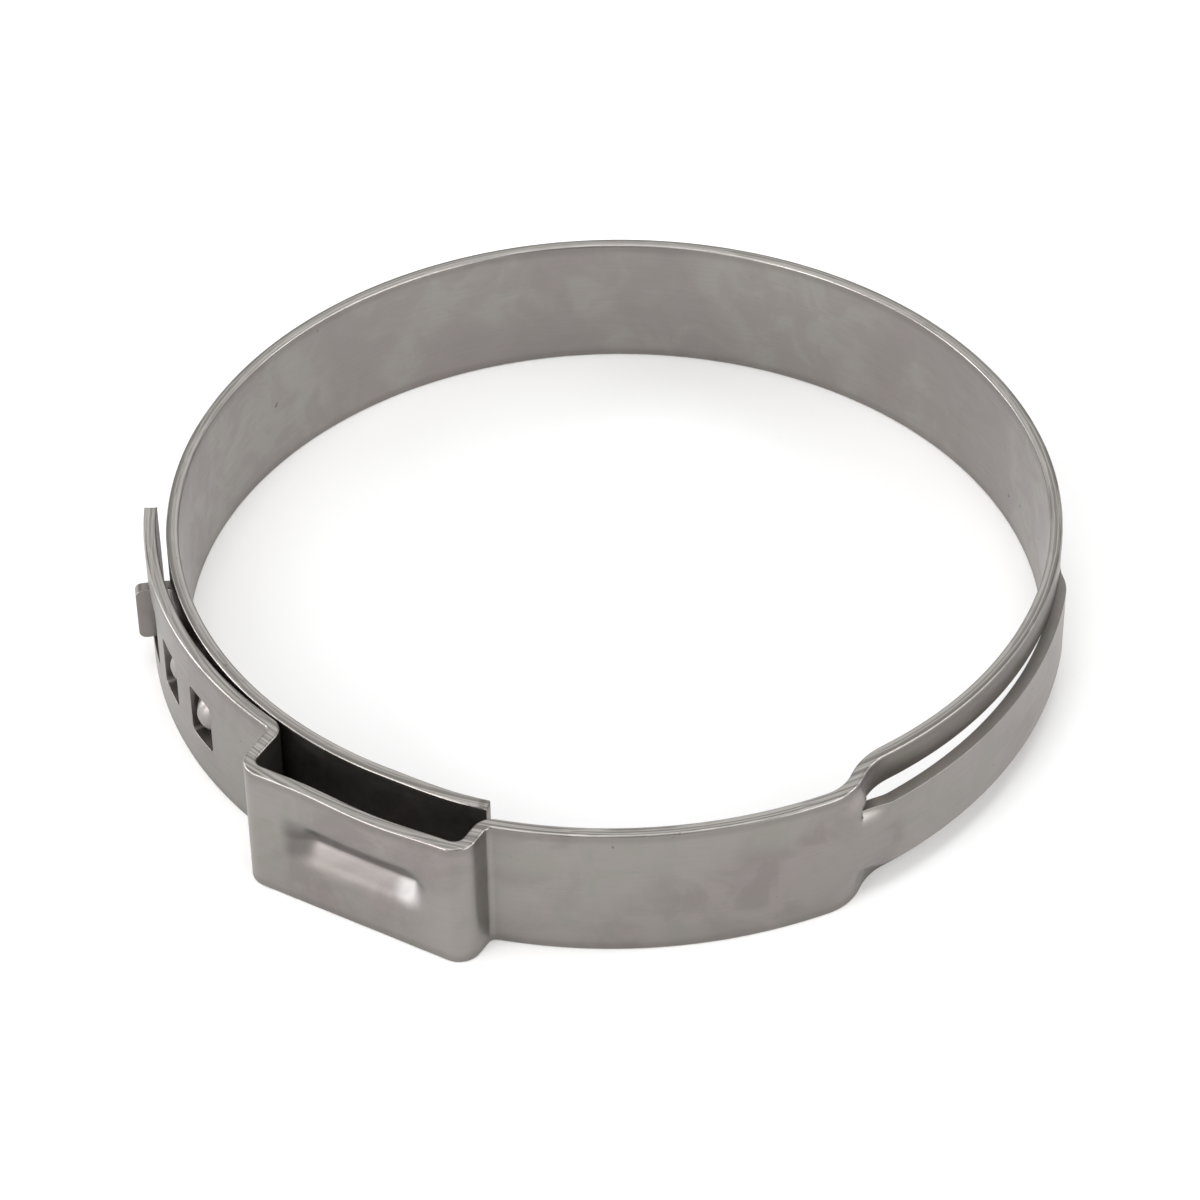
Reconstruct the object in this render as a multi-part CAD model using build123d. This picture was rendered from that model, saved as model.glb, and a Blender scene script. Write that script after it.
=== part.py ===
from build123d import *
from math import acos, asin, atan2, cos, degrees, radians, sin, sqrt, tan
from typing import NamedTuple
import os

# Stepless single-ear hose clamp: one steel strip, blanked, pressed and rolled into a ring.
# Millimetres. The ring's axis is Z, the origin is in the middle of the bore, and the clamp lies flat
# on the lower edge of its band. Angles are in degrees about Z, counter-clockwise from +X.
# The strip starts at its loose outer end on the -X side and runs counter-clockwise over the ear and
# the joggle, then once round the bore, and ends in a tongue under its own outer layer.

# Strip
bore_radius = 20.5
band_width = 7.0
band_thickness = 0.6

# Outer layer
layer_play = 0.75
ear_to_joggle = 21.1
ear_to_end = 23.2
end_seat_play = 0.05
end_spring_angle = 1.7
end_corner_radius = 0.3

# Ear
ear_angle = -120.1
ear_inside_width = 10.6
ear_inside_depth = 2.05
ear_corner_radius = 0.45
ear_root_radius = 0.35

# Dimple pressed into the ear's wall
dimple_length = 7.2
dimple_height = 3.0
dimple_depth = 0.6
dimple_slope_run = 0.75
dimple_corner_radius = 0.8

# Joggle and tongue channel
joggle_entry_radius = 2.2
joggle_landing_radius = 3.2
channel_lean = 3.1
channel_lean_radius = 5.7
joggle_to_lean = 0.97
channel_length = 18.4
ramp_bend_radius = 2.2
strip_width = 3.7
slit_width = 0.1
slit_lead = 0.2

# Inner end
shoulder_setback = 0.11
tongue_length = 15.5
tongue_width = 3.1
tongue_tip_radius = 0.6

# Windows in the outer layer for the pan hooks, counted from the ear
first_window = 11.87
window_pitch = 3.67
window_count = 2
window_length = 1.95
window_height = 2.75
window_corner_radius = 0.25

# Pan hooks of the inner layer
hook_length = 1.5
hook_width = 2.1
hook_rise = 0.7
hook_gap = 0.4
hook_crown_radius = 0.3

# Guide hook and its window
guide_window_step = 3.75
guide_window_length = 2.7
guide_window_height = 3.25
guide_width = 2.95
guide_proud = 0.65
guide_corner_radius = 0.35
guide_bend_radius = 0.25
guide_gap = 0.2
guide_lance_gap = 0.1

# Worked out from the sizes above
half_thickness = band_thickness / 2
inner_mid = bore_radius + half_thickness
inner_outside = bore_radius + band_thickness
outer_mid = inner_outside + layer_play + half_thickness
outer_outside = outer_mid + half_thickness
seat_mid = inner_outside + end_seat_play + half_thickness
corner_mid = ear_corner_radius + half_thickness
root_mid = ear_root_radius + half_thickness
entry_mid = joggle_entry_radius + half_thickness
landing_mid = joggle_landing_radius + half_thickness
lean_mid = channel_lean_radius + half_thickness
ramp_mid = ramp_bend_radius + half_thickness
leg_mid = ear_inside_width / 2 + half_thickness
wall_mid = inner_outside + ear_inside_depth + half_thickness
QUARTER_TURN = 90
HALF_TURN = 180
FULL_TURN = 360
JOIN_GAP = 1e-5


class Bend(NamedTuple):
    """A bend of the strip's middle line. One with a negative sweep turns away from the bore."""

    centre: Vector
    radius: float
    start: float
    sweep: float


def span(length, radius=outer_mid):
    """The angle that a length takes along the band."""
    return degrees(length / radius)


def polar(radius, angle):
    return Vector(radius * cos(radians(angle)), radius * sin(radians(angle)))


def ear_point(along, out):
    """A point so far along the ear's wall, and so far out from the bore's axis."""
    return polar(out, ear_angle) + polar(along, ear_angle + QUARTER_TURN)


def direction(start, end):
    return degrees(atan2(end.Y - start.Y, end.X - start.X))


def bend(centre, radius, first, last, outward=False):
    """The bend that runs from one direction about its centre to another."""
    sweep = (last - first) % FULL_TURN
    return Bend(centre, radius, first, sweep - FULL_TURN if outward else sweep)


def face_line(path, offset):
    """One face of the strip in plan. Straight stretches join the bends that don't meet."""
    edges = []
    for turn in path:
        reach = turn.radius + offset if turn.sweep > 0 else turn.radius - offset
        edge = CenterArc(turn.centre, reach, turn.start, turn.sweep)
        if edges and (edges[-1] @ 1 - edge @ 0).length > JOIN_GAP:
            edges.append(Line(edges[-1] @ 1, edge @ 0))
        edges.append(edge)
    return edges


def strip_along(path, width, thickness=band_thickness):
    """The strip stood on edge along a path of tangent bends, centred on the band's height."""
    outside = face_line(path, thickness / 2)
    inside = face_line(path, -thickness / 2)
    ends = [Line(outside[0] @ 0, inside[0] @ 0), Line(outside[-1] @ 1, inside[-1] @ 1)]
    return extrude(make_face(outside + inside + ends), amount=width / 2, both=True)


def facing(radius, angle):
    """A plane across the band: X along the band, Y along the bore, Z outward."""
    return Plane(origin=polar(radius, angle), x_dir=polar(1, angle + QUARTER_TURN), z_dir=polar(1, angle))


def edge_on(radius, angle):
    """A plane that shows the band's edge: X along the band, Y outward."""
    return Plane(origin=polar(radius, angle), x_dir=polar(1, angle + QUARTER_TURN), z_dir=(0, 0, -1))


# The path of the strip

spring_centre = polar(
    seat_mid * sin(radians(end_spring_angle)),
    ear_angle - span(leg_mid, seat_mid) - QUARTER_TURN,
)
joggle_angle = ear_angle + span(ear_to_joggle)
end_angle = ear_angle - span(ear_to_end)
shoulder_angle = ear_angle + span(ear_inside_width / 2 - shoulder_setback, inner_mid) + FULL_TURN


def root_bend(side, centre, layer_radius):
    """The bend between a layer and a leg of the ear, on the -1 or +1 side, and where it leaves the layer."""
    reach = layer_radius + root_mid
    along = side * (leg_mid + root_mid)
    foot_along = centre.dot(polar(1, ear_angle + QUARTER_TURN))
    foot_out = centre.dot(polar(1, ear_angle))
    middle = ear_point(along, foot_out + sqrt(reach**2 - (along - foot_along) ** 2))
    layer_angle = direction(centre, middle)
    to_layer = layer_angle + HALF_TURN
    to_leg = ear_angle - side * QUARTER_TURN
    first, last = (to_layer, to_leg) if side < 0 else (to_leg, to_layer)
    return bend(middle, root_mid, first, last, outward=True), layer_angle


def corner_bend(side):
    middle = ear_point(side * (leg_mid - corner_mid), wall_mid - corner_mid)
    to_leg = ear_angle + side * QUARTER_TURN
    first, last = (to_leg, ear_angle) if side < 0 else (ear_angle, to_leg)
    return bend(middle, corner_mid, first, last)


def step_bends(centre, layer_radius, start_angle, entry, landing):
    """The two bends that step the strip from an outer arc in to the ring, and where they end."""
    first_middle = centre + polar(layer_radius - entry, start_angle)
    first_reach = first_middle.length
    second_reach = inner_mid + landing
    between = first_reach**2 + second_reach**2 - (entry + landing) ** 2
    step = degrees(acos(between / (2 * first_reach * second_reach)))
    ring_angle = direction(Vector(0, 0), first_middle) + step
    second_middle = polar(second_reach, ring_angle)
    across = direction(first_middle, second_middle)
    bends = [
        bend(first_middle, entry, start_angle, across),
        bend(second_middle, landing, across + HALF_TURN, ring_angle + HALF_TURN, outward=True),
    ]
    return bends, ring_angle


def band_path():
    """From the loose end, over the ear and down the joggle, round the bore to the shoulder."""
    axis = Vector(0, 0)
    left_root, seat_angle = root_bend(-1, spring_centre, seat_mid)
    right_root, lap_angle = root_bend(1, axis, outer_mid)
    joggle, ring_angle = step_bends(axis, outer_mid, joggle_angle, entry_mid, landing_mid)
    return [
        bend(spring_centre, seat_mid, end_angle, seat_angle),
        left_root,
        corner_bend(-1),
        corner_bend(1),
        right_root,
        bend(axis, outer_mid, lap_angle, joggle_angle),
        *joggle,
        bend(axis, inner_mid, ring_angle, shoulder_angle),
    ]


def channel_path():
    """The raised strip over the tongue's channel: it leans in from the lap and ramps down to the ring."""
    axis = Vector(0, 0)
    lean_angle = joggle_angle + span(joggle_to_lean)
    lean_sweep = channel_lean * outer_mid / (outer_mid - lean_mid)
    lean_middle = polar(outer_mid - lean_mid, lean_angle)
    arc_angle = lean_angle + lean_sweep
    arc_centre = lean_middle - polar(outer_mid - lean_mid, arc_angle)
    ramp_angle = arc_angle + span(channel_length)
    ramp, ring_angle = step_bends(arc_centre, outer_mid, ramp_angle, ramp_mid, ramp_mid)
    return [
        bend(axis, outer_mid, joggle_angle - span(slit_lead), lean_angle),
        bend(lean_middle, lean_mid, lean_angle, arc_angle),
        bend(arc_centre, outer_mid, arc_angle, ramp_angle),
        *ramp,
        bend(axis, inner_mid, ring_angle, ring_angle + span(slit_lead)),
    ]


def rounded_end(blank, end, radius):
    """The strip with the two corners of one end rounded off."""
    end_face = blank.faces().sort_by_distance(end)[0]
    bottom, *_, top = end_face.edges().sort_by(Axis.Z)
    return fillet([bottom, top], radius)


def rolled_band():
    """The band at its full width, lanced along the channel, with the channel's strip left standing."""
    path = band_path()
    channel = channel_path()
    loose_end = path[0].centre + polar(path[0].radius, path[0].start)
    lanced_from = channel[0].start
    lanced_to = channel[-1].start + channel[-1].sweep
    lance = bend(Vector(0, 0), (bore_radius + outer_outside) / 2, lanced_from, lanced_to)
    reach = outer_outside - bore_radius + half_thickness
    band = rounded_end(strip_along(path, band_width), loose_end, end_corner_radius)
    band -= strip_along([lance], strip_width + 2 * slit_width, reach)
    return band + strip_along(channel, strip_width)


def tongue():
    """The narrow inner end that bridges the gap in the bore under the ear."""
    tip_angle = shoulder_angle + span(tongue_length, inner_mid)
    blank = strip_along([bend(Vector(0, 0), inner_mid, shoulder_angle, tip_angle)], tongue_width)
    return rounded_end(blank, polar(inner_mid, tip_angle), tongue_tip_radius)


# Windows and hooks

window_angles = [ear_angle - span(first_window + place * window_pitch) for place in range(window_count)]
guide_window_angle = window_angles[-1] - span(guide_window_step)


def loose_radius(angle):
    """How far the middle of the sprung outer layer is from the bore's axis."""
    shift = spring_centre.dot(polar(1, angle))
    return shift + sqrt(seat_mid**2 - spring_centre.length**2 + shift**2)


def window(angle, length, height):
    """A window's cutter, which goes through the outer layer only."""
    outline = facing(inner_outside + end_seat_play / 2, angle) * RectangleRounded(
        length, height, window_corner_radius
    )
    return extrude(outline, amount=loose_radius(angle))


def pan(angle, width, sink):
    """The form of a pan hook: upright at its free end, and sloping down towards the ear."""
    free_end = -hook_length / 2
    root = hook_length / 2
    base = -band_thickness
    outline = Polyline(
        (free_end, base),
        (free_end, hook_rise),
        (free_end + hook_crown_radius, hook_rise),
        (root, 0),
        (root, base),
        close=True,
    )
    plane = edge_on(inner_outside - sink, angle)
    return extrude(plane * make_face(outline.edges()), amount=width / 2, both=True)


def pan_hook(window_angle):
    """The metal that a pan hook raises, and the hollow that it leaves behind itself."""
    angle = window_angle + span(hook_gap + (hook_length - window_length) / 2)
    raised = pan(angle, hook_width, 0)
    crown = raised.faces().sort_by(Axis((0, 0, 0), polar(1, angle)))[-1]
    sides = crown.edges().filter_by(Plane.XY)
    raised = fillet(sides, hook_crown_radius)
    return raised, pan(angle, hook_width - band_thickness, band_thickness)


def guide_hook():
    """The tab bent square out of the inner layer, and the hole that it is lanced from."""
    angle = guide_window_angle - span(guide_window_length / 2 - guide_gap - half_thickness)
    bend_mid = guide_bend_radius + half_thickness
    middle_reach = inner_mid + bend_mid
    foot_angle = angle + degrees(asin(bend_mid / middle_reach))
    middle = polar(middle_reach, foot_angle)
    stem = middle.dot(polar(1, angle))
    tip = loose_radius(angle) + half_thickness + guide_proud
    root = bend(middle, bend_mid, angle - QUARTER_TURN, foot_angle + HALF_TURN, outward=True)
    plate = facing(stem, angle) * Rectangle(band_thickness, guide_width)
    upright = rounded_end(extrude(plate, amount=tip - stem), polar(tip, angle), guide_corner_radius)
    tab = strip_along([root], guide_width) + upright
    blank_length = tip - stem + bend_mid * radians(QUARTER_TURN)
    lance = bend(Vector(0, 0), inner_mid, foot_angle - span(blank_length, inner_mid), foot_angle)
    hole_width = guide_width + 2 * guide_lance_gap
    return tab, strip_along([lance], hole_width, band_thickness + end_seat_play)


# The ear's dimple


def pressed_pan(out, spread):
    """The dimple's form with its rim at a distance from the bore's axis, spread by an allowance."""
    rim = facing(out, ear_angle) * RectangleRounded(
        dimple_length + 2 * spread, dimple_height + 2 * spread, dimple_corner_radius + spread
    )
    floor = facing(out - dimple_depth, ear_angle) * RectangleRounded(
        dimple_length + 2 * (spread - dimple_slope_run),
        dimple_height + 2 * (spread - dimple_slope_run),
        dimple_corner_radius + spread - dimple_slope_run,
    )
    return loft([rim, floor])


def dimple():
    """The hollow in the ear's wall, and the boss that it makes inside."""
    slope = atan2(dimple_depth, dimple_slope_run)
    spread = band_thickness * tan(slope / 2)
    outside = wall_mid + half_thickness
    return pressed_pan(outside, 0), pressed_pan(outside - band_thickness, spread)


def clamp():
    band = rolled_band() + tongue()
    hollow, boss = dimple()
    band = band + boss - hollow
    for angle in window_angles:
        raised, pocket = pan_hook(angle)
        band = band - window(angle, window_length, window_height) + raised - pocket
    tab, lanced_hole = guide_hook()
    guide_window = window(guide_window_angle, guide_window_length, guide_window_height)
    return band - guide_window - lanced_hole + tab


clamp_band = clamp()
os.makedirs("parts", exist_ok=True)
export_step(clamp_band, "parts/clamp_band.step")
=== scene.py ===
import cmath
import math
from typing import NamedTuple

import bmesh
import bpy
from mathutils import Matrix, Vector


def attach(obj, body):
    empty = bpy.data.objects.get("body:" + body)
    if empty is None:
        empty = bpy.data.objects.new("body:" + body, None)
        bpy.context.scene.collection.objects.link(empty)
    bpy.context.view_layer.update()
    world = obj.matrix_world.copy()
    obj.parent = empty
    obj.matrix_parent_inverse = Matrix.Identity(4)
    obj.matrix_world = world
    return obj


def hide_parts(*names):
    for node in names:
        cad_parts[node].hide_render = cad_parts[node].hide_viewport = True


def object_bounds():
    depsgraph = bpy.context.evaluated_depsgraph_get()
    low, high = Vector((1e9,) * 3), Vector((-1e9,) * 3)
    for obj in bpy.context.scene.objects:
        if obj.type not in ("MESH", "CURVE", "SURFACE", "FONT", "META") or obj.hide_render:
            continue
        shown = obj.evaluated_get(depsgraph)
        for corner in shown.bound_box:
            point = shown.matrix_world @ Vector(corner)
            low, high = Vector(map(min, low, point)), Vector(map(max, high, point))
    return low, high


# Dresses the stepless single-ear hose clamp. The strip is blanked flat, its forms are pressed, and it
# is rolled along its own middle line. Sizes are in millimetres until a mesh or curve is made.
# The ring's axis is Z. Angles are in degrees about Z, counter-clockwise from +X.

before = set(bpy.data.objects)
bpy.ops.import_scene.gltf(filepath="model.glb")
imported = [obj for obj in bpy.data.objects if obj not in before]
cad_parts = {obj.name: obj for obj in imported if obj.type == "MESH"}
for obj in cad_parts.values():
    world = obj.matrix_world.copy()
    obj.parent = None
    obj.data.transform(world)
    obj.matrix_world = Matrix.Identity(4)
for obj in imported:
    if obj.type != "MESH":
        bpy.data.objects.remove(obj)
cad_box = [list(corner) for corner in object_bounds()]
MM = 0.001

# Strip
bore_radius = 20.5
band_width = 7.0
band_thickness = 0.6
rim_roll = 0.13
hole_roll = 0.03

# Outer layer
layer_play = 0.75
ear_to_joggle = 21.1
ear_to_end = 23.2
end_seat_play = 0.05
end_spring_angle = 1.7
end_corner_radius = 0.3

# Ear
ear_angle = -120.1
ear_inside_width = 10.6
ear_inside_depth = 2.05
ear_corner_radius = 0.45
ear_root_radius = 0.35
wall_bulge = 0.25
wall_bulge_at = 1.2
wall_bulge_low = -1.0
wall_bulge_share = 0.85

# Dimple pressed into the ear's wall
dimple_length = 7.6
dimple_shift = 0.2
dimple_left_run = 1.7
dimple_high = 1.85
dimple_low = -1.6
dimple_valley = 0.2
dimple_depth = 0.52
dimple_corner_radius = 1.6
dimple_end_run = 0.95
dimple_rim_run = 0.15
dimple_floor_curve = 1.5

# Joggle and tongue channel
joggle_entry_radius = 2.2
joggle_landing_radius = 3.2
channel_lean = 3.1
channel_lean_radius = 5.7
joggle_to_lean = 0.97
channel_length = 18.4
ramp_bend_radius = 2.2
strip_width = 3.7
slit_width = 0.05
joggle_to_slit = 1.5
tear_length = 0.44
lower_tear_length = 1.32
tear_dip = 0.3
dip_lead = 0.25
dip_from = 1.15
dip_to = 2.6
held_from = 2.1
lower_held_from = 1.2
lower_held_to = 2.9
curl_length = 1.7

# Inner end
shoulder_setback = 0.11
shoulder_lift = 0.28
shoulder_lift_run = 5
shoulder_fall_after = 4
shoulder_fall_before_tip = 2
tongue_length = 15.5
tongue_width = 3.1
tongue_tip_radius = 0.6

# Windows, pan hooks and guide hook
first_window = 11.87
window_pitch = 3.67
window_count = 2
window_length = 1.95
window_height = 2.75
window_corner_radius = 0.275
hook_length = 1.5
hook_width = 1.9
hook_rise = 0.86
hook_gap = 0.32
hook_slit = 0.06
hook_side_play = 0.1
hook_front_share = 0.72
hook_top_share = 0.35
hook_fall_share = 0.25
hook_foot_share = 1.15
hook_side_curve = 0.75
hook_zone_share = 0.65
guide_window_step = 3.75
guide_window_length = 2.7
guide_window_height = 3.3
guide_width = 2.9
guide_proud = 0.65
guide_corner_radius = 0.35
guide_bend_radius = 0.25
guide_gap = 0.2
guide_lance_gap = 0.1
guide_start_radius = 0.01
guide_start_turn = 0.1

# Spacing of the mesh
plain_pitch = 0.6
bend_pitch = 0.09
form_pitch = 0.14
tear_pitch = 0.1
row_pitch = 0.3
form_reach = 1.9
merge_gap = 0.01
joggle_lead = 1.5
zone_lead = 0.3
rim_play = 0.02
short_edge_share = 1.3

# Worked out from the sizes above
half_thickness = band_thickness / 2
half_width = band_width / 2
rim_row = half_width - end_corner_radius
inner_mid = bore_radius + half_thickness
inner_outside = bore_radius + band_thickness
outer_mid = inner_outside + layer_play + half_thickness
seat_mid = inner_outside + end_seat_play + half_thickness
corner_mid = ear_corner_radius + half_thickness
root_mid = ear_root_radius + half_thickness
entry_mid = joggle_entry_radius + half_thickness
landing_mid = joggle_landing_radius + half_thickness
lean_mid = channel_lean_radius + half_thickness
ramp_mid = ramp_bend_radius + half_thickness
leg_mid = ear_inside_width / 2 + half_thickness
wall_mid = inner_outside + ear_inside_depth + half_thickness


# The strip's middle line, in plan


def polar(radius, angle):
    return cmath.rect(radius, math.radians(angle))


def heading(start, end):
    return math.degrees(cmath.phase(end - start))


def span(length, radius=outer_mid):
    """The angle that a length takes along the band."""
    return math.degrees(length / radius)


class Bend(NamedTuple):
    """A bend of the middle line. One with a negative sweep turns away from the bore."""

    centre: complex
    radius: float
    start: float
    sweep: float

    def at(self, angle):
        return self.centre + polar(self.radius, angle)

    @property
    def first(self):
        return self.at(self.start)

    @property
    def last(self):
        return self.at(self.start + self.sweep)

    @property
    def length(self):
        return self.radius * math.radians(abs(self.sweep))


def bend(centre, radius, first, last, outward=False):
    sweep = (last - first) % 360
    return Bend(centre, radius, first, sweep - 360 if outward else sweep)


def starts(path):
    """The length of strip before each bend of a path, and at its end."""
    at, lengths = 0.0, []
    for before, turn in zip([None, *path], path):
        if before:
            at += abs(turn.first - before.last)
        lengths.append(at)
        at += turn.length
    return [*lengths, at]


spring_centre = polar(
    seat_mid * math.sin(math.radians(end_spring_angle)),
    ear_angle - span(leg_mid, seat_mid) - 90,
)
joggle_angle = ear_angle + span(ear_to_joggle)
end_angle = ear_angle - span(ear_to_end)
shoulder_angle = ear_angle + span(ear_inside_width / 2 - shoulder_setback, inner_mid) + 360


def ear_point(along, out):
    return polar(out, ear_angle) + polar(along, ear_angle + 90)


def part_along(point, angle):
    """How far a point is from the bore's axis in one direction."""
    return (point * polar(1, -angle)).real


def root_bend(side, centre, layer_radius):
    """The bend between a layer and a leg of the ear, and where it leaves the layer."""
    reach = layer_radius + root_mid
    along = side * (leg_mid + root_mid)
    foot_along = part_along(centre, ear_angle + 90)
    foot_out = part_along(centre, ear_angle)
    middle = ear_point(along, foot_out + math.sqrt(reach**2 - (along - foot_along) ** 2))
    layer_angle = heading(centre, middle)
    to_layer, to_leg = layer_angle + 180, ear_angle - side * 90
    first, last = (to_layer, to_leg) if side < 0 else (to_leg, to_layer)
    return bend(middle, root_mid, first, last, outward=True), layer_angle


def corner_bend(side):
    middle = ear_point(side * (leg_mid - corner_mid), wall_mid - corner_mid)
    to_leg = ear_angle + side * 90
    first, last = (to_leg, ear_angle) if side < 0 else (ear_angle, to_leg)
    return bend(middle, corner_mid, first, last)


def step_bends(centre, layer_radius, start_angle, entry, landing):
    """The two bends that step the strip from an outer arc in to the ring, and where they end."""
    first_middle = centre + polar(layer_radius - entry, start_angle)
    first_reach, second_reach = abs(first_middle), inner_mid + landing
    between = first_reach**2 + second_reach**2 - (entry + landing) ** 2
    step = math.degrees(math.acos(between / (2 * first_reach * second_reach)))
    landing_angle = heading(0j, first_middle) + step
    second_middle = polar(second_reach, landing_angle)
    across = heading(first_middle, second_middle)
    bends = [
        bend(first_middle, entry, start_angle, across),
        bend(second_middle, landing, across + 180, landing_angle + 180, outward=True),
    ]
    return bends, landing_angle


def channel_bends():
    """The raised strip over the tongue's channel: it leans in from the lap and ramps down to the ring."""
    lean_angle = joggle_angle + span(joggle_to_lean)
    lean_sweep = channel_lean * outer_mid / (outer_mid - lean_mid)
    lean_middle = polar(outer_mid - lean_mid, lean_angle)
    arc_angle = lean_angle + lean_sweep
    arc_centre = lean_middle - polar(outer_mid - lean_mid, arc_angle)
    ramp_angle = arc_angle + span(channel_length)
    ramp, foot_angle = step_bends(arc_centre, outer_mid, ramp_angle, ramp_mid, ramp_mid)
    return [
        bend(0j, outer_mid, lap_angle, lean_angle),
        bend(lean_middle, lean_mid, lean_angle, arc_angle),
        bend(arc_centre, outer_mid, arc_angle, ramp_angle),
        *ramp,
        bend(0j, inner_mid, foot_angle, foot_angle + 5),
    ], foot_angle


def ring_bend(radius, first, last):
    """A stretch of the band about the bore's axis, which may be more than one turn."""
    return Bend(0j, radius, first, last - first)


left_root, seat_angle = root_bend(-1, spring_centre, seat_mid)
right_root, lap_angle = root_bend(1, 0j, outer_mid)
joggle, ring_angle = step_bends(0j, outer_mid, joggle_angle, entry_mid, landing_mid)
channel_path, ramp_foot_angle = channel_bends()
tip_angle = shoulder_angle + span(tongue_length, inner_mid)
band_path = [
    bend(spring_centre, seat_mid, end_angle, seat_angle),
    left_root,
    corner_bend(-1),
    corner_bend(1),
    right_root,
    ring_bend(outer_mid, lap_angle, joggle_angle),
    *joggle,
    ring_bend(inner_mid, ring_angle, tip_angle),
]
band_starts = starts(band_path)


def place_on(path, lengths, at):
    """The point of a path after a length of strip, and the direction that faces away from the bore.

    It holds on bends, and not on a straight run between two of them.
    """
    for turn, low in zip(path, lengths):
        if at <= low + turn.length + 1e-9:
            break
    turned = math.degrees((at - low) / turn.radius)
    facing = turn.start + math.copysign(turned, turn.sweep)
    return turn.at(facing), polar(1 if turn.sweep > 0 else -1, facing)


CHANNEL_STEP = 0.1
channel_starts = starts(channel_path)
channel_points = [
    place_on(channel_path, channel_starts, step * CHANNEL_STEP)[0]
    for step in range(int(channel_starts[-1] / CHANNEL_STEP))
]


def channel_lift(at):
    """How far out the channel's strip stands from the rest of the band, after a length of strip."""
    point, outward = place_on(band_path, band_starts, at)
    seen = [(other - point) / outward for other in channel_points]
    for before, after in zip(seen, seen[1:]):
        if before.imag <= 0 <= after.imag and abs(before) < bore_radius / 2:
            share = before.imag / (before.imag - after.imag)
            return max(before.real + share * (after.real - before.real), 0.0)
    return 0.0


# Places along the strip


def loose_place(angle):
    """The length from the loose end to a place on the sprung outer layer."""
    shift = part_along(spring_centre, angle)
    reach = shift + math.sqrt(seat_mid**2 - abs(spring_centre) ** 2 + shift**2)
    turned = (heading(spring_centre, polar(reach, angle)) - end_angle) % 360
    return seat_mid * math.radians(turned)


def ring_place(angle):
    """The length to a place on the layer that lies on the hose."""
    return band_starts[-2] + inner_mid * math.radians(angle - ring_angle)


ear_place = (band_starts[3] + band_starts[2] + band_path[2].length) / 2
window_angles = [ear_angle - span(first_window + place * window_pitch) for place in range(window_count)]
guide_window_angle = window_angles[-1] - span(guide_window_step)
guide_angle = guide_window_angle - span(guide_window_length / 2 - guide_gap - half_thickness)
guide_mid = guide_bend_radius + half_thickness
guide_foot_angle = guide_angle + math.degrees(math.asin(guide_mid / (inner_mid + guide_mid)))
guide_shift = part_along(spring_centre, guide_angle)
guide_cover = guide_shift + math.sqrt(seat_mid**2 - abs(spring_centre) ** 2 + guide_shift**2)
guide_tip = guide_cover + half_thickness + guide_proud
guide_bend_middle = polar(inner_mid + guide_mid, guide_foot_angle)
guide_stem = part_along(guide_bend_middle, guide_angle)
guide_blank = guide_tip - guide_stem + guide_mid * math.radians(90)


# Flat blanks


def grid_lines(first, last, pitch, marks=(), zones=()):
    """Lines from first to last: one at every mark, and no two further apart than the pitch there."""
    zones = [(max(low, first), min(high, last), step) for low, high, step in zones]
    stops = {first, last, *marks, *(edge for zone in zones for edge in zone[:2])}
    stops = sorted(stop for stop in stops if first <= stop <= last)
    stops = [stop for stop, before in zip(stops, [-1e9, *stops]) if stop - before > 1e-4]
    lines = []
    for low, high in zip(stops, stops[1:]):
        middle = (low + high) / 2
        step = min([pitch, *(fine for start, end, fine in zones if start < middle < end)])
        count = max(1, math.ceil((high - low) / step - 1e-6))
        lines += [low + (high - low) * place / count for place in range(count)]
    return [*lines, stops[-1]]


class Corner(NamedTuple):
    """A rounded corner at x, y, with its arc's centre towards the signs. A hollow one is a hole's."""

    x: float
    y: float
    toward_x: int
    toward_y: int
    radius: float
    hollow: bool


CORNER_STEPS = 5


def hole_corners(low_x, high_x, low_y, high_y, radius):
    return [
        Corner(x, y, sx, sy, radius, True)
        for x, sx in ((low_x, 1), (high_x, -1))
        for y, sy in ((low_y, 1), (high_y, -1))
    ]


def end_corners(x, toward_x, width, radius):
    return [Corner(x, side * width / 2, toward_x, -side, radius, False) for side in (-1, 1)]


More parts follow.
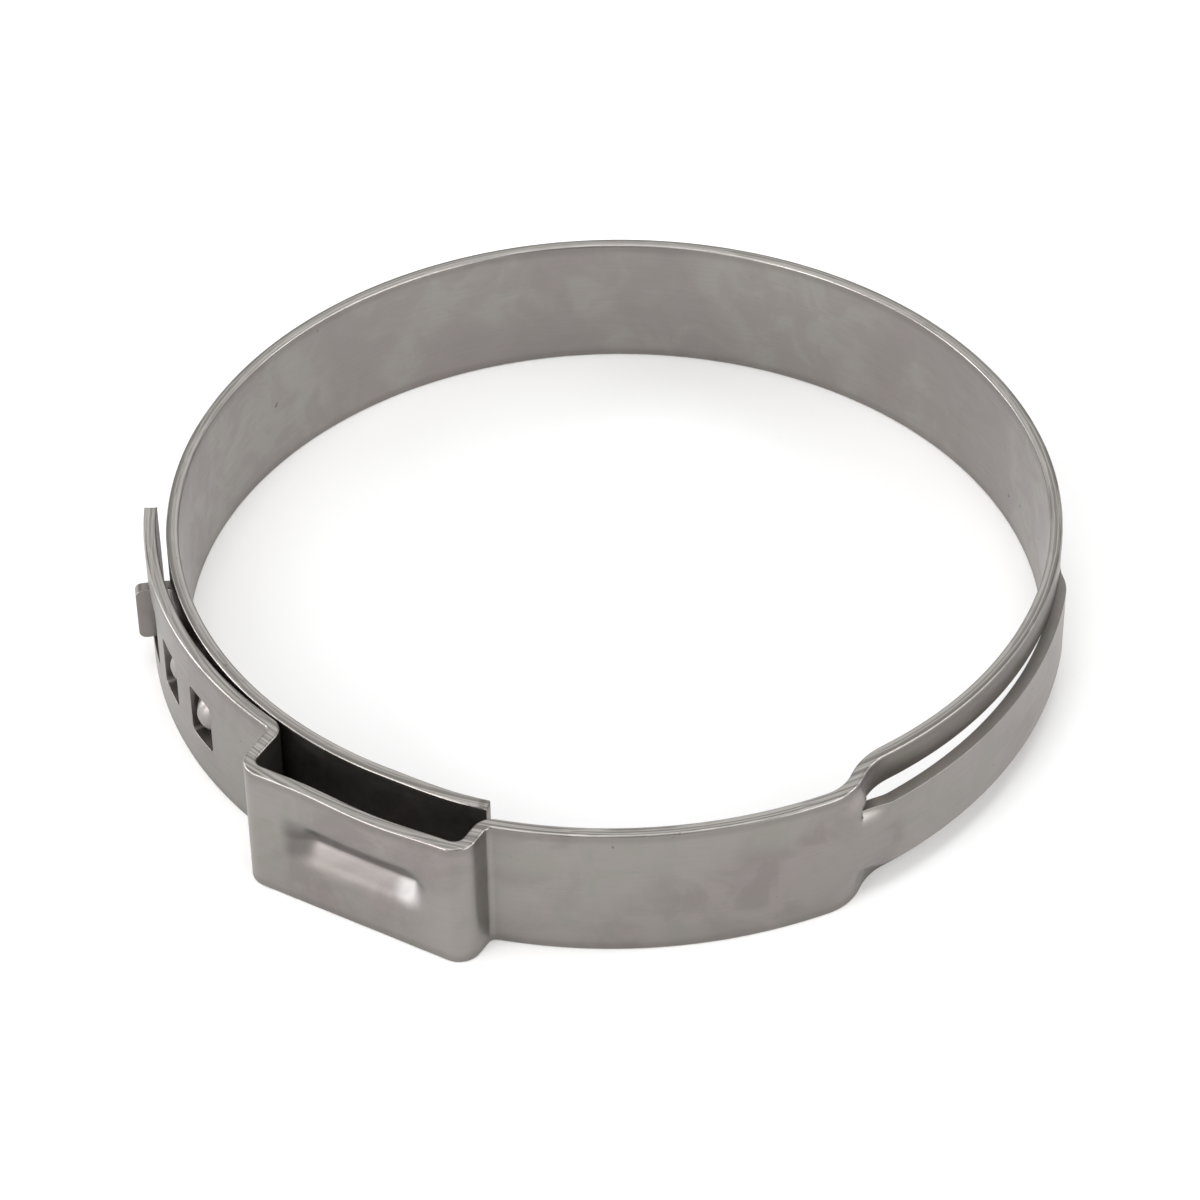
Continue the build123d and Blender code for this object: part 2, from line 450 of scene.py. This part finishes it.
def flat_blank(name, columns, rows, kept, pressed, corners=()):
    """A flat mesh with X along the strip, Y across it and its pressed forms in Z."""
    verts, faces, numbers = [], [], {}

    def vert(x, y):
        key = (round(x, 4), round(y, 4))
        if key not in numbers:
            numbers[key] = len(verts)
            verts.append((x * MM, y * MM, pressed(x, y) * MM))
        return numbers[key]

    def face(points):
        area = sum(a[0] * b[1] - a[1] * b[0] for a, b in zip(points, points[1:] + points[:1]))
        faces.append([vert(*point) for point in (points if area > 0 else points[::-1])])

    regions = []
    for corner in corners:
        inner_x = corner.x + corner.toward_x * corner.radius
        inner_y = corner.y + corner.toward_y * corner.radius
        low_x, high_x = sorted((corner.x, inner_x))
        low_y, high_y = sorted((corner.y, inner_y))
        regions.append((low_x, high_x, low_y, high_y))
        turns = [math.pi / 2 * step / CORNER_STEPS for step in range(CORNER_STEPS + 1)]
        arc = [
            (
                inner_x - corner.toward_x * corner.radius * math.cos(turn),
                inner_y - corner.toward_y * corner.radius * math.sin(turn),
            )
            for turn in turns
        ]
        across_x = [x for x in columns if low_x + 1e-3 < x < high_x - 1e-3][:: corner.toward_x]
        across_y = [y for y in rows if low_y + 1e-3 < y < high_y - 1e-3][:: corner.toward_y]
        if corner.hollow:
            along_x = [(x, corner.y) for x in across_x]
            along_y = [(corner.x, y) for y in across_y]
            face([(corner.x, corner.y), *along_x, *arc[::-1], *along_y[::-1]])
        else:
            along_x = [(x, inner_y) for x in across_x]
            along_y = [(inner_x, y) for y in across_y]
            face([(inner_x, inner_y), *along_x[::-1], *arc, *along_y])
    for low_x, high_x in zip(columns, columns[1:]):
        for low_y, high_y in zip(rows, rows[1:]):
            x, y = (low_x + high_x) / 2, (low_y + high_y) / 2
            if not kept(x, y) or any(a < x < b and c < y < d for a, b, c, d in regions):
                continue
            face([(low_x, low_y), (high_x, low_y), (high_x, high_y), (low_x, high_y)])
    mesh = bpy.data.meshes.new(name)
    mesh.from_pydata(verts, [], faces)
    strip = mesh.uv_layers.new(name="strip")
    for loop in mesh.loops:
        x, y, _ = mesh.vertices[loop.vertex_index].co
        strip.data[loop.index].uv = (x / MM, y / MM)
    return mesh


def smooth(low, high, value):
    share = min(max((value - low) / (high - low), 0.0), 1.0)
    return share * share * (3 - 2 * share)


def rounded_box(x, y, length, height, radius):
    """How far a place is outside a rounded rectangle. Inside, it is negative."""
    dx = abs(x) - length / 2 + radius
    dy = abs(y) - height / 2 + radius
    return math.hypot(max(dx, 0), max(dy, 0)) + min(max(dx, dy), 0) - radius


# The band's blank

half_tongue = tongue_width / 2
half_window = window_height / 2
half_guide_window = guide_window_height / 2
half_strip = strip_width / 2
half_lance = half_strip + slit_width
joggle_place = band_starts[6]
slit_place = joggle_place + joggle_to_slit
foot_place = ring_place(ramp_foot_angle)
shoulder_place = ring_place(shoulder_angle)
tip_place = band_starts[-1]
windows = [(loose_place(angle), window_length, half_window) for angle in window_angles]
windows.append((loose_place(guide_window_angle), guide_window_length, half_guide_window))
hooks = [
    ring_place(angle + 360 + span(hook_gap + (hook_length - window_length) / 2)) for angle in window_angles
]
guide_high = ring_place(guide_foot_angle + 360)
guide_low = guide_high - guide_blank
half_guide_hole = guide_width / 2 + guide_lance_gap
# How far out the channel stands, worked out so far, by the length along the strip
lifts = {}


def pan_form(x, y):
    """A pan hook: upright at its free end, with a round crown, sloping down towards the ear."""
    rise = 0.0
    for place in hooks:
        along = (x - place + hook_length / 2) / hook_length
        if 0 <= along <= hook_foot_share:
            front = hook_front_share + (1 - hook_front_share) * smooth(0.0, hook_top_share, along)
            slope = front * (1 - smooth(hook_fall_share, hook_foot_share, along))
            across = max(1 - (2 * y / (hook_width + hook_side_play)) ** 2, 0.0) ** hook_side_curve
            rise = max(rise, hook_rise * slope * across)
    return rise


def dimple_form(x, y):
    """How deep the dimple is: a valley under its upper rim that rises gently to its lower one."""
    middle, height = (dimple_high + dimple_low) / 2, dimple_high - dimple_low
    along = x - ear_place - dimple_shift
    away = rounded_box(along, y - middle, dimple_length, height, dimple_corner_radius)
    ends = 1 - smooth(-dimple_end_run, dimple_rim_run, away)
    ends *= smooth(-dimple_length / 2, dimple_left_run - dimple_length / 2, along)
    under = smooth(dimple_high + dimple_rim_run, dimple_valley, y)
    rise = min(max((dimple_valley - y) / (dimple_valley - dimple_low), 0.0), 1.0)
    return dimple_depth * ends * under * (1 - rise) ** dimple_floor_curve


def bulge_form(x, y):
    """The ear's wall stands out a little along its upper edge."""
    along = (x - ear_place - wall_bulge_at) / (ear_inside_width / 2)
    return wall_bulge * smooth(wall_bulge_low, rim_row, y) * (1 - smooth(0.0, wall_bulge_share, abs(along)))


def channel_form(x, y):
    """The strip that stays out over the tongue's channel, and the torn shape where its slits start."""
    if not band_starts[5] < x < foot_place:
        return 0.0
    if x not in lifts:
        lifts[x] = channel_lift(x)
    out, past = abs(y), x - slit_place
    if y > 0:
        held, length = 1 - smooth(held_from, rim_row, out), tear_length
    else:
        held, length = 1 - smooth(lower_held_from, lower_held_to, out), lower_tear_length
    dip = tear_dip * smooth(dip_from, half_strip, out) * (1 - smooth(half_lance, dip_to, out))
    if past <= 0:
        return lifts[x] * held - dip * smooth(-dip_lead, 0, past)
    if out > (half_strip + half_lance) / 2:
        return (lifts[x] * held - dip) * (1 - smooth(0, length, past))
    return lifts[x] * (held + (1 - held) * smooth(0, length, past)) - dip * (1 - smooth(0, curl_length, past))


def band_form(x, y):
    """How far the band's metal is pressed off its flat blank, outwards."""
    lift = shoulder_lift * smooth(shoulder_place - shoulder_lift_run, shoulder_place, x)
    lift *= 1 - smooth(shoulder_place + shoulder_fall_after, tip_place - shoulder_fall_before_tip, x)
    return pan_form(x, y) + bulge_form(x, y) + channel_form(x, y) + lift - dimple_form(x, y)


def band_kept(x, y):
    """Whether the blank has metal there, and not a window, a slit or the gap in front of a hook."""
    for place, length, half_height in windows:
        if abs(x - place) < length / 2 and abs(y) < half_height:
            return False
    if slit_place < x < foot_place and half_strip < abs(y) < half_lance:
        return False
    if guide_low < x < guide_high and abs(y) < half_guide_hole:
        return False
    for place in hooks:
        free_end = place - hook_length / 2
        if free_end - hook_slit < x < free_end and abs(y) < hook_width / 2:
            return False
    return x < shoulder_place or abs(y) < half_tongue


def band_blank():
    marks = [0, end_corner_radius, slit_place, foot_place, shoulder_place, tip_place - tongue_tip_radius]
    zones = [
        (joggle_place - joggle_lead, slit_place + curl_length, form_pitch),
        (slit_place - zone_lead, slit_place + 2 * tear_length, tear_pitch),
    ]
    corners = end_corners(0, 1, band_width, end_corner_radius)
    corners += end_corners(tip_place, -1, tongue_width, tongue_tip_radius)
    for place, length, half_height in windows:
        low, high = place - length / 2, place + length / 2
        marks += [low, low + window_corner_radius, high - window_corner_radius, high]
        corners += hole_corners(low, high, -half_height, half_height, window_corner_radius)
    for place in hooks:
        low, high = place - hook_length / 2, place + hook_length * hook_zone_share
        marks += [low - hook_slit, low]
        zones.append((low, high, form_pitch))
    marks += [guide_low, guide_high]
    for place, turn in zip(band_starts, band_path):
        if turn.radius < bore_radius / 2:
            pitch = bend_pitch * (2 if turn.radius > 1 else 1)
            zones.append((place, place + turn.length, pitch))
    ramp_low = ring_place(heading(0j, channel_path[3].first))
    zones.append((ramp_low - zone_lead, foot_place, 2 * bend_pitch))
    reach = ear_inside_width / 2 - ear_corner_radius
    zones.append((ear_place - reach, ear_place + reach, form_pitch))
    columns = grid_lines(0, tip_place, plain_pitch, marks, zones)
    lines = [half_tongue, half_tongue - tongue_tip_radius, half_lance, half_strip, half_guide_hole]
    lines += [half_window, half_window - window_corner_radius, half_width - end_corner_radius]
    lines += [half_guide_window, half_guide_window - window_corner_radius]
    lines += [guide_width / 2, guide_width / 2 - guide_corner_radius, hook_width / 2]
    mirrored = [sign * line for line in lines for sign in (-1, 1)]
    rows = grid_lines(-half_width, half_width, row_pitch, mirrored, [(-form_reach, form_reach, form_pitch)])
    return flat_blank("band_blank", columns, rows, band_kept, band_form, corners), rows


def guide_blank_mesh(rows):
    inside = [row for row in rows if abs(row) <= guide_width / 2 + 1e-6]
    columns = grid_lines(0, guide_blank, form_pitch, [guide_corner_radius])
    corners = end_corners(0, 1, guide_width, guide_corner_radius)
    return flat_blank("guide_blank", columns, inside, lambda x, y: True, lambda x, y: 0.0, corners)


# Rolling

ARC_STEP = 30
CURVE_STEPS = 24


def path_curve(name, path):
    """A path of tangent bends as a smooth curve with a knot at least every ARC_STEP degrees."""
    knots = []
    for turn in path:
        count = math.ceil(abs(turn.sweep) / ARC_STEP)
        arc = turn.sweep / count
        handle = 4 / 3 * math.tan(math.radians(arc) / 4) * turn.radius
        if knots and abs(knots[-1][0] - turn.first) > 1e-6:
            third = (turn.first - knots[-1][0]) / 3
            knots[-1][2] = knots[-1][0] + third
            knots.append([turn.first, turn.first - third, None])
        elif not knots:
            knots.append([turn.first, turn.first, None])
        for step in range(count + 1):
            angle = turn.start + arc * step
            along = polar(handle, angle + 90)
            point = turn.at(angle)
            if step:
                knots.append([point, point - along, point])
            if step < count:
                knots[-1][2] = point + along
    curve = bpy.data.curves.new(name, "CURVE")
    curve.dimensions = "3D"
    curve.resolution_u = CURVE_STEPS
    spline = curve.splines.new("BEZIER")
    spline.bezier_points.add(len(knots) - 1)
    for point, (place, left, right) in zip(spline.bezier_points, knots):
        point.handle_left_type = point.handle_right_type = "FREE"
        point.co = (place.real * MM, place.imag * MM, 0)
        point.handle_left = (left.real * MM, left.imag * MM, 0)
        point.handle_right = (right.real * MM, right.imag * MM, 0)
    made = bpy.data.objects.new(name, curve)
    bpy.context.scene.collection.objects.link(made)
    return made


def rolling_tree():
    """Lays a flat blank along a path: X becomes the length along it, Y the height, Z the way outward."""
    tree = bpy.data.node_groups.new("roll_blank", "GeometryNodeTree")
    tree.is_modifier = True
    face = tree.interface
    face.new_socket(name="Blank", in_out="INPUT", socket_type="NodeSocketGeometry")
    face.new_socket(name="Path", in_out="INPUT", socket_type="NodeSocketObject")
    face.new_socket(name="Steel", in_out="INPUT", socket_type="NodeSocketMaterial")
    face.new_socket(name="Rolled", in_out="OUTPUT", socket_type="NodeSocketGeometry")

    def node(kind, **settings):
        made = tree.nodes.new(kind)
        for setting, value in settings.items():
            setattr(made, setting, value)
        return made

    def vector(operation, *values):
        made = node("ShaderNodeVectorMath", operation=operation)
        for socket, value in zip([s for s in made.inputs if s.enabled], values):
            if isinstance(value, tuple):
                socket.default_value = value
            else:
                tree.links.new(value, socket)
        return made.outputs["Vector"]

    def scaled(value, amount):
        made = node("ShaderNodeVectorMath", operation="SCALE")
        tree.links.new(value, made.inputs["Vector"])
        tree.links.new(amount, made.inputs["Scale"])
        return made.outputs["Vector"]

    given = node("NodeGroupInput")
    path = node("GeometryNodeObjectInfo", transform_space="ORIGINAL")
    split = node("ShaderNodeSeparateXYZ")
    sample = node("GeometryNodeSampleCurve", mode="LENGTH", data_type="FLOAT")
    up = node("ShaderNodeCombineXYZ")
    place = node("GeometryNodeSetPosition")
    realize = node("GeometryNodeRealizeInstances")
    steel = node("GeometryNodeSetMaterial")
    out = node("NodeGroupOutput")
    tree.links.new(given.outputs["Path"], path.inputs["Object"])
    tree.links.new(path.outputs["Geometry"], sample.inputs["Curves"])
    tree.links.new(node("GeometryNodeInputPosition").outputs["Position"], split.inputs["Vector"])
    tree.links.new(split.outputs["X"], sample.inputs["Length"])
    tree.links.new(split.outputs["Y"], up.inputs["Z"])
    outward = vector("NORMALIZE", vector("CROSS_PRODUCT", sample.outputs["Tangent"], (0, 0, 1)))
    pressed = scaled(outward, split.outputs["Z"])
    rolled = vector("ADD", vector("ADD", sample.outputs["Position"], pressed), up.outputs["Vector"])
    tree.links.new(given.outputs["Blank"], place.inputs["Geometry"])
    tree.links.new(rolled, place.inputs["Position"])
    tree.links.new(place.outputs["Geometry"], realize.inputs["Geometry"])
    tree.links.new(realize.outputs["Geometry"], steel.inputs["Geometry"])
    tree.links.new(given.outputs["Steel"], steel.inputs["Material"])
    tree.links.new(steel.outputs["Geometry"], out.inputs["Rolled"])
    return tree


def set_inputs(modifier, tree, **values):
    """Sets a modifier's named inputs by their identifiers."""
    for item in tree.interface.items_tree:
        if item.in_out == "INPUT" and item.name in values:
            modifier[item.identifier] = values[item.name]


def rolled(mesh, path_object, tree, steel):
    """The plain mesh that a blank becomes along its path."""
    blank = bpy.data.objects.new(mesh.name, mesh)
    bpy.context.scene.collection.objects.link(blank)
    modifier = blank.modifiers.new("roll", "NODES")
    modifier.node_group = tree
    set_inputs(modifier, tree, Path=path_object, Steel=steel)
    graph = bpy.context.evaluated_depsgraph_get()
    made = bpy.data.meshes.new_from_object(blank.evaluated_get(graph), depsgraph=graph)
    bpy.data.objects.remove(blank)
    bpy.data.objects.remove(path_object)
    return made


def joined(name, meshes):
    """One mesh from several, with the points that meet merged."""
    work = bmesh.new()
    for mesh in meshes:
        work.from_mesh(mesh)
    bmesh.ops.remove_doubles(work, verts=work.verts, dist=merge_gap * MM)
    made = bpy.data.meshes.new(name)
    work.to_mesh(made)
    work.free()
    for material in meshes[0].materials:
        made.materials.append(material)
    for polygon in made.polygons:
        polygon.use_smooth = True
    return made


def weighed(mesh):
    """Weighs the sheared edges for rolling: the strip's long rims fully, its holes and slits less.

    Edges about as short as a slit is wide stay sharp.
    """
    work = bmesh.new()
    work.from_mesh(mesh)
    weight = work.edges.layers.float.new("bevel_weight_edge")
    for edge in work.edges:
        if sorted(face.material_index for face in edge.link_faces) != [0, 1]:
            continue
        if min(abs(vert.co.z) for vert in edge.verts) > (half_width - rim_play) * MM:
            edge[weight] = 1.0
        elif edge.calc_length() > short_edge_share * slit_width * MM:
            edge[weight] = hole_roll / rim_roll
    for face in work.faces:
        face.material_index = 0
    work.to_mesh(mesh)
    work.free()
    mesh.materials.pop()


def finished(mesh):
    """The rolled strip with its thickness, and its sheared edges rolled over."""
    made = bpy.data.objects.new("rolled_strip", mesh)
    bpy.context.scene.collection.objects.link(made)
    mesh.materials.append(mesh.materials[0])
    wall = made.modifiers.new("gauge", "SOLIDIFY")
    wall.thickness = band_thickness * MM
    wall.offset = 0
    wall.material_offset_rim = 1
    graph = bpy.context.evaluated_depsgraph_get()
    made.data = bpy.data.meshes.new_from_object(made.evaluated_get(graph), depsgraph=graph)
    made.modifiers.clear()
    weighed(made.data)
    edge = made.modifiers.new("edge_roll", "BEVEL")
    edge.width = rim_roll * MM
    edge.segments = 4
    edge.limit_method = "WEIGHT"
    edge.use_clamp_overlap = False
    edge.harden_normals = True
    return made


# Stainless steel


class Wire:
    """A number in a shader that takes ordinary arithmetic."""

    def __init__(self, graph, socket):
        self.graph, self.socket = graph, socket

    def maths(self, operation, *values):
        made = self.graph.node("ShaderNodeMath", {"operation": operation}, dict(enumerate(values)))
        return Wire(self.graph, made.outputs[0])

    def __add__(self, other):
        return self.maths("ADD", self, other)

    def __sub__(self, other):
        return self.maths("SUBTRACT", self, other)

    def __mul__(self, other):
        return self.maths("MULTIPLY", self, other)

    def __radd__(self, other):
        return self.maths("ADD", other, self)

    def __rsub__(self, other):
        return self.maths("SUBTRACT", other, self)

    def __rmul__(self, other):
        return self.maths("MULTIPLY", other, self)

    def __abs__(self):
        return self.maths("ABSOLUTE", self)

    def between(self, low, high):
        """The share of the way from low to high, eased at both ends."""
        values = {"Value": self, "From Min": low, "From Max": high}
        made = self.graph.node("ShaderNodeMapRange", {"interpolation_type": "SMOOTHSTEP"}, values)
        return Wire(self.graph, made.outputs["Result"])

    def band(self, low, high):
        """One between two stretches of places, each given as where it starts and ends, and nought outside."""
        return self.between(*low) - self.between(*high)


class Graph:
    """A material's nodes, each made from its type, its settings and its socket values."""

    def __init__(self, material):
        material.use_nodes = True
        self.tree = material.node_tree
        self.shader = self.tree.nodes["Principled BSDF"]

    def node(self, kind, settings=None, values=None):
        made = self.tree.nodes.new(kind)
        for setting, value in (settings or {}).items():
            setattr(made, setting, value)
        self.fill(made, values or {})
        return made

    def fill(self, made, values):
        for name, value in values.items():
            socket = made.inputs[name]
            if isinstance(value, Wire):
                self.tree.links.new(value.socket, socket)
            elif isinstance(value, bpy.types.NodeSocket):
                self.tree.links.new(value, socket)
            else:
                socket.default_value = value

    def noise(self, vector, scale, detail=2.0, roughness=0.5, distortion=0.0):
        values = {"Vector": vector, "Scale": scale, "Detail": detail}
        values.update({"Roughness": roughness, "Distortion": distortion})
        return Wire(self, self.node("ShaderNodeTexNoise", {}, values).outputs["Fac"])

    def length(self, vector):
        made = self.node("ShaderNodeVectorMath", {"operation": "LENGTH"}, {0: vector})
        return Wire(self, made.outputs["Value"])

    def spot(self, x, y, full, edge):
        """A soft round spot about the place where x and y are nought."""
        made = self.node("ShaderNodeCombineXYZ", {}, {"X": x, "Y": y})
        return 1 - self.length(made.outputs["Vector"]).between(full, edge)

    def stretched(self, vector, amounts):
        made = self.node("ShaderNodeVectorMath", {"operation": "MULTIPLY"}, {0: vector, 1: amounts})
        return made.outputs["Vector"]

    def tint(self, share, first, second):
        """One colour turning into another."""
        values = {0: share, 6: first, 7: second}
        return self.node("ShaderNodeMix", {"data_type": "RGBA"}, values).outputs[2]


# Tones of the steel, in linear red, green and blue, with full alpha
PINK_GREY = (0.212, 0.189, 0.181, 1)
GREEN_GREY = (0.240, 0.231, 0.210, 1)
# Paler tones painted on the face towards the bore, in place of light that the ring's shade takes from it
LIT_BORE_PINK = (0.282, 0.256, 0.246, 1)
LIT_BORE_GREEN = (0.306, 0.292, 0.270, 1)
BLOTCH = (0.270, 0.246, 0.236, 1)
STREAK = (0.21, 0.20, 0.19, 1)
# Painted dark reflection along the faces just inside the rolled edges
RIM_DARK_REFLECTION = (0.13, 0.12, 0.11, 1)
SHEAR_DARK = (0.20, 0.19, 0.175, 1)
SHEAR_PALE = (0.47, 0.45, 0.425, 1)
# Painted shade and painted highlights for the dimple and the hooks, not colours of the metal
DIMPLE_SLOPE_SHADE = (0.12, 0.11, 0.105, 1)
DIMPLE_NOOK_SHADE = (0.10, 0.09, 0.085, 1)
PAINTED_GLINT = (0.52, 0.51, 0.51, 1)
PIT = (0.12, 0.11, 0.10, 1)


def sheared_tone(graph, place, clouds):
    """The ridges that shearing leaves across the strip's edges, and how far out each place is."""
    reach = graph.length(graph.stretched(place, (1 / MM, 1 / MM, 0.0)))
    around = graph.node("ShaderNodeCombineXYZ", {}, {"X": reach * 7.0, "Y": clouds * 3.0}).outputs["Vector"]
    shear = graph.noise(around, 1.0, 2, 0.6).between(0.38, 0.62)
    return graph.tint(shear, SHEAR_DARK, SHEAR_PALE), reach


def painted_pressed_light(graph, tone, length, across):
    """Painted shade on the dimple's upper slope and left end, and painted highlights on its right end and on
    the hooks' crowns.
    """
    along = length - (ear_place + dimple_shift)
    # Painted shade: a darker band over the dimple's upper slope, where it would lie in shade
    slope = across.band((0.15, 0.45), (1.1, 1.75)) * (1 - abs(along + 0.2).between(3.0, 3.9))
    # Painted shade: a dark patch in the dimple's left end, where its steep slope would be shaded
    nook_shade = along.band((-4.0, -3.3), (-2.9, -1.9)) * across.band((-1.2, -0.4), (0.5, 1.3))
    # Painted highlight: a bright spot at the dimple's lower right end
    glint_spots = graph.spot(along - 2.65, across + 0.45, 0.25, 0.95)
    # Painted highlights on the pan hooks' crowns
    for hook in hooks:
        glint_spots = glint_spots + graph.spot(length + 0.25 - hook, across - 0.15, 0.1, 0.6) * 0.4
    # Paints the shade onto the dimple's upper slope
    tone = graph.tint(slope * 0.55, tone, DIMPLE_SLOPE_SHADE)
    # Paints the shade into the dimple's left end
    tone = graph.tint(nook_shade * 0.6, tone, DIMPLE_NOOK_SHADE)
    # Paints the highlights on the dimple and the hooks
    return graph.tint(glint_spots * 0.6, tone, PAINTED_GLINT)


def stainless(name):
    """Satin rolled stainless strip: fine streaks along it, soft cloudy tints, and rougher sheared edges, with
    painted shade, painted highlights and a paler painted inside face.
    """
    material = bpy.data.materials.new(name)
    graph = Graph(material)
    place = graph.node("ShaderNodeTexCoord").outputs["Object"]
    strip = graph.node("ShaderNodeUVMap", {"uv_map": "strip"}).outputs["UV"]
    split = graph.node("ShaderNodeSeparateXYZ", {}, {"Vector": strip})
    length, across = Wire(graph, split.outputs["X"]), Wire(graph, split.outputs["Y"])

    edge = abs(across).between(half_width - 0.04, half_width - 0.005)
    roll = abs(across).between(half_width - 0.12, half_width - 0.06) - edge
    # Painted dark reflection: a darker band just inside the rolled edge on both faces
    rim_reflection = abs(across).between(half_width - 0.62, half_width - 0.24) - edge - roll
    clouds = graph.noise(place, 160, 3, 0.55, 0.4)
    blotches = graph.noise(place, 420, 4, 0.6, 0.8)
    streaks = graph.noise(graph.stretched(strip, (0.22, 5.0, 1.0)), 1.6, 5, 0.65)
    grain = graph.noise(place, 5200, 3, 0.6)
    pits = graph.noise(place, 1900, 1, 0.4).between(0.79, 0.83)
    hairs = graph.noise(graph.stretched(strip, (0.35, 1.1, 1.0)), 0.9, 2, 0.5, 1.6)
    worn = graph.noise(place, 300, 1).between(0.52, 0.62)
    scratch = (1 - abs(hairs - 0.5).between(0.0, 0.0035)) * worn
    sheared, reach = sheared_tone(graph, place, clouds)
    # Painted light: the face towards the bore is given the paler tones
    bore_side_light = 1 - reach.between(bore_radius + 0.15, bore_radius + 0.45)

    outside = graph.tint(clouds.between(0.38, 0.62), PINK_GREY, GREEN_GREY)
    inside = graph.tint(clouds.between(0.42, 0.58), LIT_BORE_PINK, LIT_BORE_GREEN)
    tone = graph.tint(bore_side_light, outside, inside)
    tone = graph.tint(blotches.between(0.38, 0.62) * 0.7, tone, BLOTCH)
    tone = graph.tint(streaks.between(0.35, 0.65) * 0.12, tone, STREAK)
    tone = graph.tint(rim_reflection * 0.3, tone, RIM_DARK_REFLECTION)
    tone = graph.tint(edge * 0.8, tone, sheared)
    tone = painted_pressed_light(graph, tone, length, across)
    tone = graph.tint(pits * 0.6, tone, PIT)

    rough = 0.33 + streaks.between(0.3, 0.7) * 0.06 + blotches.between(0.3, 0.7) * 0.05
    rough = rough + edge * 0.06 - roll * 0.1 + pits * 0.2
    height = streaks * 0.35 + grain * 0.25 - scratch * 0.6 + blotches * 0.8
    bump = graph.node("ShaderNodeBump", {}, {"Strength": 0.12, "Distance": 0.00004, "Height": height})
    values = {"Base Color": tone, "Roughness": rough, "Metallic": 1.0, "Normal": bump.outputs["Normal"]}
    graph.fill(graph.shader, values)
    return material


steel = stainless("stainless_strip")
tree = rolling_tree()
band_mesh, row_lines = band_blank()
guide_bend = bend(guide_bend_middle, guide_mid, guide_angle - 90, guide_foot_angle + 180, outward=True)
guide_top = polar(guide_tip, guide_angle)


def guide_path():
    """From the guide hook's tip down its plate and round into the inner layer."""
    middle = guide_top + polar(guide_start_radius, guide_angle + 90)
    start = Bend(middle, guide_start_radius, guide_angle - 90, -guide_start_turn)
    return [start, guide_bend]


pieces = [
    rolled(band_mesh, path_curve("band_path", band_path), tree, steel),
    rolled(guide_blank_mesh(row_lines), path_curve("guide_path", guide_path()), tree, steel),
]
clamp = finished(joined("rolled_strip", pieces))
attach(clamp, "root")
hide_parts("clamp_band")


# Studio


def studio():
    scene = bpy.context.scene
    scene.view_settings.view_transform = "Standard"
    world = bpy.data.worlds.new("studio")
    world.use_nodes = True
    world.node_tree.nodes["Background"].inputs["Color"].default_value = (1, 1, 1, 1)
    world.node_tree.nodes["Background"].inputs["Strength"].default_value = 0.5
    scene.world = world
    mesh = bpy.data.meshes.new("floor")
    reach, level = 0.6, cad_box[0][2]
    mesh.from_pydata(
        [(-reach, -reach, level), (reach, -reach, level), (reach, reach, level), (-reach, reach, level)],
        [],
        [(0, 1, 2, 3)],
    )
    floor = bpy.data.objects.new("floor", mesh)
    scene.collection.objects.link(floor)
    pale = bpy.data.materials.new("pale_floor")
    pale.use_nodes = True
    shader = pale.node_tree.nodes["Principled BSDF"]
    shader.inputs["Base Color"].default_value = (0.96, 0.96, 0.96, 1)
    shader.inputs["Roughness"].default_value = 0.9
    mesh.materials.append(pale)


def soft_light(name, place, size, power):
    """A round lamp that faces the clamp: its place and width in metres, and its power in watts."""
    light = bpy.data.lights.new(name, "AREA")
    light.shape = "DISK"
    light.size = size
    light.energy = power
    lamp = bpy.data.objects.new(name, light)
    bpy.context.scene.collection.objects.link(lamp)
    lamp.location = place
    lamp.rotation_mode = "QUATERNION"
    lamp.rotation_quaternion = (-Vector(place)).to_track_quat("-Z", "Y")


def camera():
    """Looks down on the clamp from in front of its ear side."""
    elevation, roll = math.radians(41.0681), math.radians(-0.8612)
    across, rise, distance = 0.7008, 1.8557, 210.2754
    right = Vector((1, 0, 0))
    ahead = Vector((0, math.cos(elevation), -math.sin(elevation)))
    up = Vector((0, math.sin(elevation), math.cos(elevation)))
    level = right * math.cos(roll) + up * math.sin(roll)
    upright = up * math.cos(roll) - right * math.sin(roll)
    data = bpy.data.cameras.new("camera")
    data.sensor_width = 36
    data.lens = 132.268
    data.clip_start, data.clip_end = 0.01, 10
    seer = bpy.data.objects.new("camera", data)
    place = -(level * across + upright * rise + ahead * distance) * MM
    seer.matrix_world = Matrix.Translation(place) @ Matrix((level, upright, -ahead)).transposed().to_4x4()
    bpy.context.scene.collection.objects.link(seer)
    bpy.context.scene.camera = seer


studio()
soft_light("top_light", (0.0, -0.1, 0.7), 0.4, 1.5)
soft_light("key_light", (-0.25, -0.45, 0.45), 0.34, 0.7)
soft_light("left_panel", (-0.59, -0.46, 0.13), 0.45, 3.3)
soft_light("right_panel", (0.58, -0.48, 0.13), 0.45, 2.6)
soft_light("left_light", (-0.62, 0.12, 0.2), 0.4, 3.0)
soft_light("right_light", (0.6, -0.05, 0.32), 0.32, 1.6)
soft_light("back_light", (0.0, 0.6, 0.52), 0.6, 0.75)
camera()
